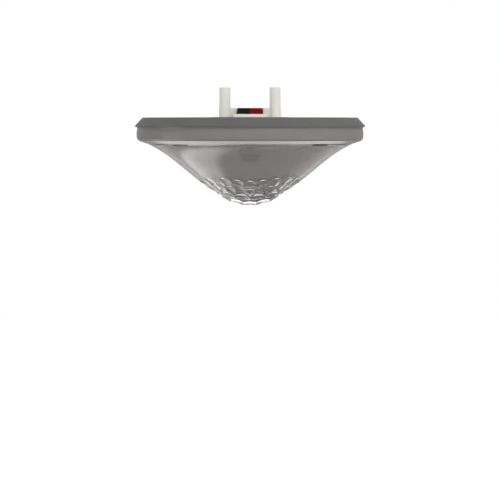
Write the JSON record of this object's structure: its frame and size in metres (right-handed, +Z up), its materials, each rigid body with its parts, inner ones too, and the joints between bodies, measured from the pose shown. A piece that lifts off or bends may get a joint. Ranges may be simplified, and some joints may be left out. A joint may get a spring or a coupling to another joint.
{
  "type": "presence detector",
  "caption": "Round ceiling presence detector with a smoky faceted lens cover, two plug-in posts, a two-pole bus terminal and a programming key under the cover.",
  "frame": {"origin": "centre of the rear face at the ceiling, midway between the two plug-in posts", "axes": "+Z up into the ceiling, -Z down out of the lens, +X through the plug-in posts towards the red pole, +Y towards the posts' tall side of the terminal socket"},
  "size_m": [0.11, 0.11, 0.0563],
  "materials": {
    "smoked_plastic": "smoky see-through plastic, semi-gloss",
    "housing_plastic": "fine satin",
    "deck_plastic": "satin",
    "grey_plastic": "satin",
    "black_plastic": "semi-gloss",
    "red_plastic": "semi-gloss",
    "tinned_metal": "bright tin",
    "spring_steel": "bright",
    "pin_brass": "bright",
    "board_laminate": "lacquered",
    "screw_steel": "zinc plated",
    "key_plastic": "satin",
    "switch_plastic": "matt",
    "nickel": "nickel plated",
    "infrared_window": "dark infrared filter",
    "sensor_ceramic": "matt ceramic",
    "lamp_white": "moulded",
    "clear_plastic": "clear moulded plastic",
    "dark_resin": "moulded resin",
    "chip_resin": "matt resin",
    "can_aluminium": "bright",
    "ferrite": "matt",
    "part_ceramic": "matt"
  },
  "bodies": {
    "housing": {"trim_ring": "smoked_plastic", "rear_housing": "housing_plastic", "inner_deck": "deck_plastic", "terminal_socket": "grey_plastic", "sensor_holder": "black_plastic", "chip_legs": "tinned_metal", "sensor_leads": "tinned_metal", "switch_dome": "spring_steel", "bus_pins": "pin_brass", "main_board": "board_laminate", "board_screws": "screw_steel", "key_switch": "switch_plastic", "capacitor_bases": "switch_plastic", "sensor_header": "nickel", "sensor_can": "nickel", "crystal": "nickel", "sensor_window": "infrared_window", "sensor_element": "sensor_ceramic", "status_lamp": "lamp_white", "light_guide": "clear_plastic", "light_sensor": "clear_plastic", "infrared_receiver": "dark_resin", "controller_chip": "chip_resin", "bus_driver_chip": "chip_resin", "capacitor_cans": "can_aluminium", "choke_shield": "ferrite", "choke_core": "ferrite", "chip_parts": "part_ceramic"},
    "cover": {"lens_cover": "smoked_plastic"},
    "key": {"programming_key": "key_plastic"},
    "bus_terminal": {"bus_terminal_black": "black_plastic", "bus_terminal_red": "red_plastic", "terminal_contacts": "tinned_metal", "wire_clamp_springs": "spring_steel"}
  },
  "joints": [
    {"name": "cover_pull", "type": "slide", "parent": "housing", "child": "cover", "axis": [0, 0, -1], "range_m": [0, 0.04]},
    {"name": "key_press", "type": "slide", "parent": "housing", "child": "key", "axis": [0, 0, 1], "range_m": [0, 0.0005], "stiffness_N_per_m": 600, "springref_m": -0.0005},
    {"name": "terminal_unplug", "type": "slide", "parent": "housing", "child": "bus_terminal", "axis": [0, 0, 1], "range_m": [0, 0.012]}
  ]
}
